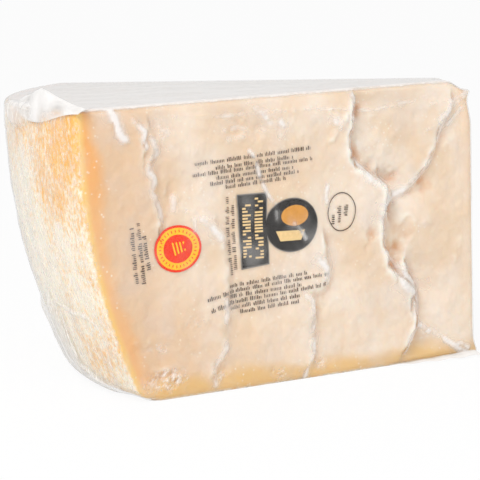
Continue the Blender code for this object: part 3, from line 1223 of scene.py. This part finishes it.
    def lay(self, local: Grid, normals: Grid) -> tuple[Grid, Grid]:
        """Flat coordinates of the film on each side of the chunk, and how streaky it is there.

        Args:
            local: places in the chunk's millimetres.
            normals: the skin's normals there.

        Returns:
            Rows of (across the streaks, along them, 0), and a share for each place.
        """
        turn, _ = self.wheel.around(local)
        side = np.column_stack([turn * self.wheel.radius, local[:, 2], np.zeros(len(local))])
        flat = np.column_stack([local[:, 0], local[:, 2], local[:, 1]])
        top = np.column_stack([local[:, 1], local[:, 0], np.zeros(len(local))])
        on_top = np.abs(normals[:, 2]) > 0.6
        outward = (local[:, :2] - np.array([self.wheel.radius, 0])) / self.wheel.radius
        on_rind = np.einsum("ij,ij->i", outward, normals[:, :2]) > 0.5
        lay = np.where(on_top[:, None], top, np.where(on_rind[:, None], side, flat))
        streaky = np.where(on_rind & ~on_top, 1.0, np.where(on_top, 0.7, 0.0))
        return lay, streaky


@dataclass
class LooseEnds:
    """The fold of spare film that stands on the rind's top rim, and the end that lies under the front."""

    wheel: Wheel
    finish: FilmFinish
    wall: float = 0.12
    steps: int = 44
    ear_turn: float = 18.5
    ear_height: float = 7.6
    tail_from: float = 150.0
    tail_to: float = 191.0
    tail_reach: float = 10.0

    def sheet(self, name: str, rows: list[list[Vector]], veil_and_sheen: list[list[float]]) -> bpy.types.Object:
        """A thin closed sheet of film over a grid of places.

        Args:
            name: the piece's name.
            rows: the places, in the scene.
            veil_and_sheen: the share of veil at each place.

        Returns:
            The dressed piece.
        """
        across = len(rows[0])
        bpy.ops.object.select_all(action="DESELECT")
        bpy.ops.mesh.primitive_grid_add(x_subdivisions=across - 1, y_subdivisions=len(rows) - 1, size=1)
        thing = bpy.context.object
        thing.name = name
        write_points(thing, np.array([point for row in rows for point in row]))
        flat = np.array([share for row in veil_and_sheen for share in row])
        write_attribute(thing, "veil_and_sheen", flat)
        apply_modifier(thing, "SOLIDIFY", thickness=self.wall * MM, offset=0)
        apply_modifier(thing, "SUBSURF", levels=1, render_levels=1)
        points, _ = read_points(thing)
        local = self.wheel.local(points)
        write_attribute(thing, "lay_mm", local[:, [0, 2, 1]])
        write_attribute(thing, "streaky", np.zeros(len(local)))
        shade_smooth(thing)
        settle(thing, self.finish.build())
        return thing

    def rim_place(self, degrees: float, radius: float, height: float) -> Vector:
        """A place by its turn about the wheel's axis, its radius and its height."""
        turn = math.radians(degrees)
        x = self.wheel.radius - radius * math.cos(turn)
        return self.wheel.world(x, radius * math.sin(turn), height)

    def ear(self) -> bpy.types.Object:
        """The fold on the rim: it leaves the rind, rises to a ridge and comes down on the top."""
        rows: list[list[Vector]] = []
        veil_and_sheen: list[list[float]] = []
        spread = 12
        for row in range(spread + 1):
            side = row / spread
            places = []
            shares = []
            for step in range(self.steps + 1):
                run = step / self.steps
                peak = min(run / 0.56, (1 - run) / 0.44) ** 1.1
                fold = math.sin(13 * run + 5 * side) + 0.6 * math.sin(29 * run - 9 * side)
                flutter = 0.35 * fold * math.sin(math.pi * side) * peak
                ridge = 116.0 + self.ear_height * peak
                foot = 114.2 - 5.0 * math.sin(math.pi * run) ** 2
                turn = -0.8 + self.ear_turn * run + 3.0 * run * (1 - side)
                if side < 0.5:
                    share = side / 0.5
                    height = foot + (ridge - foot) * share**1.4
                    radius = self.wheel.radius + 0.6 - 3.6 * share**2
                else:
                    share = (side - 0.5) / 0.5
                    height = ridge + (115.8 - ridge) * (1 - (1 - share) ** 1.8)
                    radius = self.wheel.radius - 3.0 - (2.0 + 8.0 * peak) * share
                places.append(self.rim_place(turn, radius + flutter, height + flutter))
                crest = 1 - abs(side - 0.5) * 2
                # Painted highlight: the fold's ridge is whiter.
                shares.append(min(1.0, 0.62 + 0.22 * fold + 0.5 * crest**6))
            rows.append(places)
            veil_and_sheen.append(shares)
        thing = self.sheet("bag_ear_fold", rows, veil_and_sheen)
        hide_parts("bag_ear")
        return thing

    def tail(self) -> bpy.types.Object:
        """The end of the bag that comes out from under the front edge and lies on the table."""
        rows: list[list[Vector]] = []
        veil_and_sheen: list[list[float]] = []
        spread = 8
        for row in range(spread + 1):
            out = row / spread
            places = []
            for step in range(self.steps + 1):
                run = step / self.steps
                reach = 1.5 + (self.tail_reach - 1.5) * math.sin(math.pi / 2 * run) ** 0.8
                x = self.tail_from + (self.tail_to - self.tail_from) * run
                lift = 0.35 + 2.2 * run * math.sin(math.pi * out * 0.9) + 0.25 * math.sin(23 * run) * out
                places.append(self.wheel.world(x, 1.0 - reach * out, max(0.15, lift)))
            rows.append(places)
            veil_and_sheen.append([0.35 + 0.3 * out] * (self.steps + 1))
        thing = self.sheet("bag_tail_flap", rows, veil_and_sheen)
        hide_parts("bag_tail")
        return thing


# ---------------------------------------------------------------------------------------------
# The printing
# ---------------------------------------------------------------------------------------------


@dataclass
class PrintShop:
    """Lays flat fields of ink on the front of the bag, just under the film's surface.

    Places are (distance from the rind, height) in millimetres on the front face.
    """

    wheel: Wheel
    film: bpy.types.Object
    ink_wall: float = 0.03
    start_before: float = 30.0

    def __post_init__(self) -> None:
        """Prepares the film's surface for finding places on it."""
        self.skin = BVHTree.FromObject(self.film, bpy.context.evaluated_depsgraph_get())

    def press(self, thing: bpy.types.Object, depth: float, ink: InkFinish) -> bpy.types.Object:
        """Lays a flat piece on the film and dresses it.

        Args:
            thing: a flat piece whose x and z are places on the front face.
            depth: how far behind the film's outside it lies, in millimetres.
            ink: its finish.

        Returns:
            The piece.
        """
        flat, _ = read_points(thing)
        pressed = []
        for x, _, z in flat:
            start = self.wheel.world(x, -self.start_before, z)
            spot, _, _, _ = self.skin.ray_cast(start, Vector((0, 1, 0)))
            pressed.append((spot or self.wheel.world(x, 0, z)) + Vector((0, depth * MM, 0)))
        write_points(thing, np.array(pressed))
        apply_modifier(thing, "SOLIDIFY", thickness=self.ink_wall * MM, offset=0)
        settle(thing, ink.build())
        return thing

    def disc(self, name: str, middle: tuple[float, float], half: tuple[float, float]) -> bpy.types.Object:
        """A flat round or oval field, ringed so that it can follow the film."""
        bpy.ops.object.select_all(action="DESELECT")
        bpy.ops.mesh.primitive_circle_add(vertices=72, radius=1, fill_type="NGON")
        thing = bpy.context.object
        thing.name = name
        bpy.ops.object.mode_set(mode="EDIT")
        bpy.ops.mesh.select_all(action="SELECT")
        for _ in range(7):
            bpy.ops.mesh.inset(thickness=0.125)
        bpy.ops.object.mode_set(mode="OBJECT")
        flat, _ = read_points(thing)
        x = middle[0] + half[0] * flat[:, 0]
        z = middle[1] + half[1] * flat[:, 1]
        write_points(thing, np.column_stack([x, np.zeros(len(flat)), z]))
        return thing

    def ring(self, name: str, middle: tuple[float, float], half: tuple[float, float], line: float,
             tilt: float) -> bpy.types.Object:
        """A thin oval outline.

        Args:
            name: the piece's name.
            middle: its middle.
            half: half its length and height.
            line: the outline's width.
            tilt: its turn in radians, anticlockwise.

        Returns:
            The flat piece.
        """
        thing = self.disc(name, (0, 0), half)
        bpy.ops.object.mode_set(mode="EDIT")
        bpy.ops.mesh.select_all(action="DESELECT")
        bpy.ops.object.mode_set(mode="OBJECT")
        flat, _ = read_points(thing)
        reach = np.hypot(flat[:, 0] / half[0], flat[:, 2] / half[1])
        inner = 1 - line / min(half)
        place = np.where(reach > 0.95, 1.0, np.where(reach > 0.8, inner, 0.0))
        flat[:, [0, 2]] *= (place / np.maximum(reach, 1e-6))[:, None]
        turned = Matrix.Rotation(-tilt, 3, "Y")
        flat = flat @ np.array(turned).T + np.array([middle[0], 0, middle[1]])
        write_points(thing, flat)
        bm = bmesh.new()
        bm.from_mesh(thing.data)
        bm.verts.ensure_lookup_table()
        gone = [vertex for vertex, far in zip(bm.verts, place) if far == 0.0]
        bmesh.ops.delete(bm, geom=gone, context="VERTS")
        bm.to_mesh(thing.data)
        bm.free()
        return thing

    def patch(self, name: str, corners: tuple[tuple[float, float], ...], cuts: int = 24) -> bpy.types.Object:
        """A four-sided field.

        Args:
            name: the piece's name.
            corners: top left, top right, bottom right and bottom left.
            cuts: squares along each side.

        Returns:
            The flat piece.
        """
        bpy.ops.object.select_all(action="DESELECT")
        bpy.ops.mesh.primitive_grid_add(x_subdivisions=cuts, y_subdivisions=cuts, size=1)
        thing = bpy.context.object
        thing.name = name
        flat, _ = read_points(thing)
        across = (flat[:, 0] + 0.5)[:, None]
        up = (flat[:, 1] + 0.5)[:, None]
        top_left, top_right, low_right, low_left = (np.array(corner) for corner in corners)
        upper = top_left + (top_right - top_left) * across
        lower = low_left + (low_right - low_left) * across
        spots = lower + (upper - lower) * up
        write_points(thing, np.column_stack([spots[:, 0], np.zeros(len(flat)), spots[:, 1]]))
        return thing

    def strokes(self, name: str, bars: list[tuple[float, float, float, float, float]]) -> bpy.types.Object:
        """Many short plain bars as one flat piece.

        Args:
            name: the piece's name.
            bars: each bar's middle (two numbers), length, height and tilt in radians.

        Returns:
            The flat piece.
        """
        bm = bmesh.new()
        for x, z, length, height, tilt in bars:
            stretch = Matrix.Diagonal((length, 1, height, 1))
            place = Matrix.Translation((x, 0, z)) @ Matrix.Rotation(-tilt, 4, "Y") @ stretch
            stand = place @ Matrix.Rotation(math.radians(90), 4, "X")
            bmesh.ops.create_grid(bm, x_segments=1, y_segments=1, size=0.5, matrix=stand)
        mesh = bpy.data.meshes.new(name)
        bm.to_mesh(mesh)
        bm.free()
        thing = bpy.data.objects.new(name, mesh)
        bpy.context.scene.collection.objects.link(thing)
        return thing


@dataclass(frozen=True)
class TextRow:
    """A row of small print, shown as plain upright ticks grouped like words; millimetres."""

    start: tuple[float, float]
    end: tuple[float, float]
    height: float = 1.6
    tick: float = 0.3
    gap: float = 0.42

    def bars(self, seed: int) -> list[tuple[float, float, float, float, float]]:
        """The row's ticks.

        Args:
            seed: picks the lengths of the words and the heights of the ticks.

        Returns:
            The ticks as PrintShop.strokes takes them.
        """
        draw = np.random.default_rng(seed)
        run = np.array(self.end) - np.array(self.start)
        length = float(np.hypot(*run))
        tilt = math.atan2(run[1], run[0])
        across = run / length
        upright = np.array([-across[1], across[0]])
        found = []
        at = 0.0
        while at < length:
            for _ in range(draw.integers(3, 10)):
                wide = self.tick * draw.uniform(0.7, 1.6)
                tall = self.height * draw.choice([0.66, 0.7, 1.0])
                middle = np.array(self.start) + across * (at + wide / 2) + upright * (tall / 2)
                if at + wide < length:
                    found.append((*middle, wide, tall, tilt))
                at += wide + self.gap
            at += 1.0
        return found


PRINT_ROWS = (
    # the block above the label
    TextRow((53.7, 90.6), (109.4, 93.3)),
    TextRow((63.1, 88.5), (100.7, 90.3)),
    TextRow((52.7, 86.2), (110.7, 89.0)),
    TextRow((63.4, 84.5), (101.1, 86.2)),
    TextRow((60.3, 82.3), (103.8, 84.3)),
    TextRow((67.6, 80.6), (96.9, 82.0)),
    # the block below it
    TextRow((68.2, 41.0), (106.5, 42.9)),
    TextRow((71.8, 39.0), (116.7, 41.6)),
    TextRow((57.3, 36.6), (71.2, 39.0), 1.8, 0.36),
    TextRow((68.5, 36.7), (103.0, 38.4)),
    TextRow((71.7, 34.5), (115.7, 37.3)),
    TextRow((58.8, 32.0), (71.2, 34.6), 1.8, 0.36),
    TextRow((68.8, 32.2), (103.4, 34.1)),
    TextRow((74.0, 30.2), (101.6, 31.7)),
    # beside the badge
    TextRow((31.6, 52.2), (29.4, 65.7), 1.9, 0.34),
    TextRow((29.2, 46.9), (26.6, 71.0), 1.9, 0.34),
    TextRow((25.7, 47.3), (23.7, 69.9), 1.9, 0.34),
    # beside the label
    TextRow((72.6, 48.2), (71.3, 75.4), 1.7),
    TextRow((70.2, 46.2), (68.7, 77.5), 1.7),
    # in the oval
    TextRow((127.0, 65.0), (127.4, 69.5), 1.8, 0.34),
    TextRow((123.8, 62.5), (124.2, 71.0), 1.8, 0.34),
    TextRow((120.9, 62.0), (121.0, 67.5), 1.8, 0.34),
)


@dataclass
class Printing:
    """All the ink on the bag: a round badge, a dark label with gold on it, and rows of small print."""

    shop: PrintShop
    black: InkFinish = InkFinish("black ink", (30, 27, 25))
    brown: InkFinish = InkFinish("brown ink", (84, 66, 52))
    red: InkFinish = InkFinish("orange-red ink", (238, 52, 8))
    yellow: InkFinish = InkFinish("yellow ink", (255, 190, 30))
    gold: InkFinish = InkFinish("gold ink", (236, 202, 142))
    grey: InkFinish = InkFinish("grey ink", (128, 122, 116))
    amber: InkFinish = InkFinish("amber ink", (216, 150, 62))

    def badge(self) -> None:
        """The round badge: plain rings of orange-red and yellow, ticks round it and bars in its middle."""
        middle = (44.2, 59.0)
        rings = ((10.8, 9.2, 0.20, self.red), (9.7, 8.25, 0.17, self.yellow), (6.6, 5.6, 0.14, self.red))
        for number, (wide, high, depth, ink) in enumerate(rings, start=1):
            self.shop.press(self.shop.disc(f"badge_ring_{number}", middle, (wide, high)), depth, ink)
        ticks = []
        for number in range(30):
            turn = math.tau * number / 30
            place = (middle[0] + 8.15 * math.cos(turn), middle[1] + 6.95 * math.sin(turn))
            ticks.append((*place, 1.0, 0.4, turn))
        self.shop.press(self.shop.strokes("badge_ticks", ticks), 0.14, self.red)
        bars = [(middle[0] - 1.8 + 1.5 * n, middle[1] + 0.3 * n, 0.7, 5.2 - 0.5 * n, 0.25) for n in range(4)]
        self.shop.press(self.shop.strokes("badge_bars", bars), 0.10, self.yellow)

    def label(self) -> None:
        """The dark label: an upright block with rows of gold bars, and a disc with two plain fields."""
        edge = self.shop.patch("label_edge", ((72.9, 77.8), (87.3, 77.8), (88.0, 48.7), (74.6, 47.6)))
        self.shop.press(edge, 0.22, self.grey)
        block = self.shop.patch("label_block", ((73.4, 77.4), (86.8, 77.3), (87.5, 49.2), (75.1, 48.2)))
        self.shop.press(block, 0.19, self.black)
        rim = self.shop.disc("label_rim", (99.3, 63.6), (13.0, 11.0))
        self.shop.press(rim, 0.22, self.grey)
        disc = self.shop.disc("label_disc", (99.3, 63.6), (12.6, 10.6))
        self.shop.press(disc, 0.16, self.black)
        draw = np.random.default_rng(5)
        bars = []
        for column, top, low in ((77.5, 73.2, 51.8), (83.3, 75.6, 50.4)):
            height = top
            while height > low:
                length = draw.choice([3.9, 3.9, 2.5, 1.6])
                bars.append((column + draw.choice([-0.5, 0.5]) * (3.9 - length), height, length, 0.75, -0.02))
                height -= draw.choice([1.25, 1.25, 1.5])
        self.shop.press(self.shop.strokes("label_bars", bars), 0.12, self.gold)
        amber = self.shop.disc("label_shape_1", (100.6, 67.4), (6.6, 4.2))
        self.shop.press(amber, 0.12, self.amber)
        pale = self.shop.patch("label_shape_2", ((91.5, 61.6), (105.5, 61.2), (103.5, 57.2), (93.5, 57.4)), 8)
        self.shop.press(pale, 0.12, self.gold)

    def small_print(self) -> None:
        """The rows of small print and the thin oval with a mark in it."""
        bars = [bar for number, row in enumerate(PRINT_ROWS) for bar in row.bars(number)]
        self.shop.press(self.shop.strokes("small_print", bars), 0.15, self.brown)
        oval = self.shop.ring("oval_mark", (124.3, 66.8), (6.7, 8.1), 0.35, 0.1)
        self.shop.press(oval, 0.15, self.brown)

    def build(self) -> None:
        """Lays all the ink."""
        self.badge()
        self.label()
        self.small_print()


# ---------------------------------------------------------------------------------------------
# The studio
# ---------------------------------------------------------------------------------------------


@dataclass
class Studio:
    """Plain pale ground, soft lamps and the camera."""

    wheel: Wheel
    eye: tuple[float, float, float] = (-469.9, -780.2, 179.2)
    azimuth: float = 34.88
    dip: float = 7.16
    roll: float = -1.35
    lens: float = 181.4
    sensor: float = 36.0
    ambient: float = 0.66
    ground: StageFinish = StageFinish()

    def camera(self) -> None:
        """Places the camera by its aim and its roll."""
        turn, dip, roll = (math.radians(value) for value in (self.azimuth, self.dip, self.roll))
        ahead = Vector((math.cos(dip) * math.sin(turn), math.cos(dip) * math.cos(turn), -math.sin(dip)))
        level = Vector((math.cos(turn), -math.sin(turn), 0))
        upright = level.cross(ahead)
        right = level * math.cos(roll) + upright * math.sin(roll)
        above = upright * math.cos(roll) - level * math.sin(roll)
        data = bpy.data.cameras.new("camera")
        data.lens = self.lens
        data.sensor_width = self.sensor
        data.clip_start = 0.01
        data.clip_end = 20
        camera = bpy.data.objects.new("camera", data)
        bpy.context.scene.collection.objects.link(camera)
        turned = Matrix((right, above, -ahead)).transposed().to_4x4()
        camera.matrix_world = Matrix.Translation(self.wheel.world(*self.eye)) @ turned
        bpy.context.scene.camera = camera

    def lamp(self, name: str, place: Vector, size: float, power: float) -> None:
        """A square soft lamp that looks at the pack.

        Args:
            name: the lamp's name.
            place: where it hangs.
            size: its side.
            power: its power in watts.
        """
        data = bpy.data.lights.new(name, "AREA")
        data.energy = power
        data.size = size
        lamp = bpy.data.objects.new(name, data)
        lamp.location = place
        lamp.rotation_euler = (Vector((0, 0, 0.05)) - place).to_track_quat("-Z", "Y").to_euler()
        bpy.context.scene.collection.objects.link(lamp)

    def light(self) -> None:
        """Soft light from all round, with a key lamp high on the left and a weak fill on the right."""
        self.lamp("key", Vector((-0.95, -0.65, 0.95)), 0.55, 11.0)
        self.lamp("fill", Vector((0.9, -1.1, 0.55)), 0.8, 1.5)
        world = bpy.data.worlds.new("studio")
        bpy.context.scene.world = world
        world.use_nodes = True
        nodes = world.node_tree.nodes
        links = world.node_tree.links
        backdrop = nodes["Background"]
        path = nodes.new("ShaderNodeLightPath")
        seen = path.outputs["Is Camera Ray"]
        for ray in ("Is Glossy Ray", "Is Transmission Ray"):
            either = nodes.new("ShaderNodeMath")
            either.operation = "MAXIMUM"
            links.new(seen, either.inputs[0])
            links.new(path.outputs[ray], either.inputs[1])
            seen = either.outputs[0]
        level = nodes.new("ShaderNodeMapRange")
        links.new(seen, level.inputs["Value"])
        level.inputs["To Min"].default_value = self.ambient
        level.inputs["To Max"].default_value = 1.0
        links.new(level.outputs["Result"], backdrop.inputs["Strength"])
        backdrop.inputs["Color"].default_value = (1, 1, 1, 1)
        bpy.context.scene.view_settings.view_transform = "Standard"

    def floor(self) -> None:
        """The ground that the pack stands on."""
        bpy.ops.object.select_all(action="DESELECT")
        bpy.ops.mesh.primitive_plane_add(size=12, location=(0, 0, 0))
        floor = bpy.context.object
        floor.name = "floor"
        floor.data.materials.append(self.ground.build())
        floor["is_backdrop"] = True

    def build(self) -> None:
        """Sets the whole studio up."""
        self.camera()
        self.light()
        self.floor()


def main() -> None:
    """Builds the pack piece by piece."""
    logging.basicConfig(level=logging.INFO, format="%(message)s")
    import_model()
    wheel = Wheel()
    wheel.stand("cheese_pack")
    Studio(wheel).build()
    cheese = Cheese(wheel, CheeseFinish()).build()
    film = Bag(wheel, FilmFinish()).build(cheese)
    ends = LooseEnds(wheel, FilmFinish("loose film"))
    ends.ear()
    ends.tail()
    Printing(PrintShop(wheel, film)).build()
    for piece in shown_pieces():
        LOG.info("%s: %d faces", piece.name, len(piece.data.polygons))


if __name__ == "__main__":
    main()
